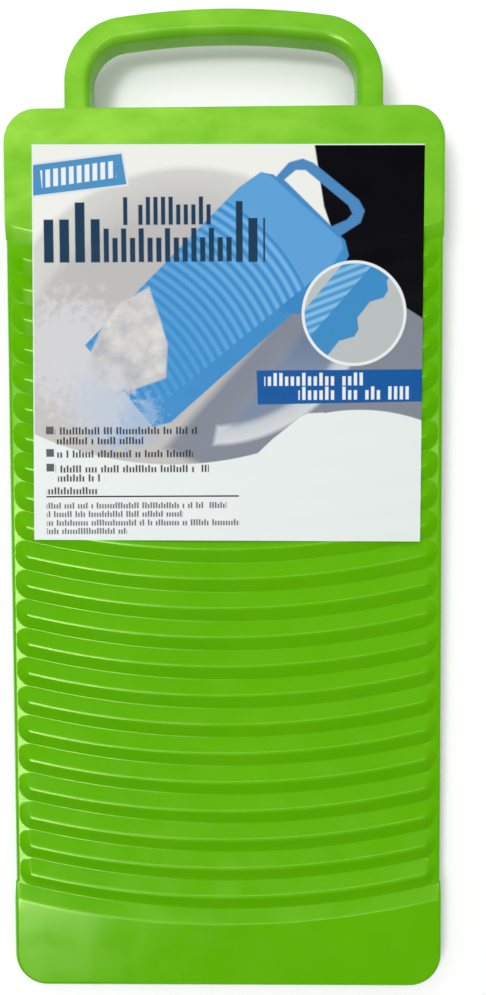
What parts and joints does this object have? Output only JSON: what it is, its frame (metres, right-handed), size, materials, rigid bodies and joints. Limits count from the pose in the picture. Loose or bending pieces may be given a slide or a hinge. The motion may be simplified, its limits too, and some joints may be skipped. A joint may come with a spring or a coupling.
{
  "type": "washboard",
  "caption": "Flat hand washboard of moulded plastic with curved washing ridges, a loop handle, hooks along both sides for a basin's rim and a printed label.",
  "frame": {"origin": "under the middle of the whole outline, at the level of the hooks' tips", "axes": "+Y along the board from the foot to the handle, +Z out of the washing face, +X to the right when the handle is at the top"},
  "size_m": [0.146, 0.3288, 0.0154],
  "materials": {
    "plastic": "glossy",
    "label": "glossy"
  },
  "bodies": {
    "root": {"washing_panel": "plastic", "head_plate": "plastic", "foot_plate": "plastic", "head_wall": "plastic", "foot_wall": "plastic", "left_side_wall": "plastic", "right_side_wall": "plastic", "head_left_corner": "plastic", "head_right_corner": "plastic", "foot_left_corner": "plastic", "foot_right_corner": "plastic", "left_upper_hook": "plastic", "right_upper_hook": "plastic", "left_lower_hook": "plastic", "right_lower_hook": "plastic", "handle_grip": "plastic", "left_handle_bend": "plastic", "right_handle_bend": "plastic", "left_handle_leg": "plastic", "right_handle_leg": "plastic", "label": "label"}
  },
  "joints": []
}
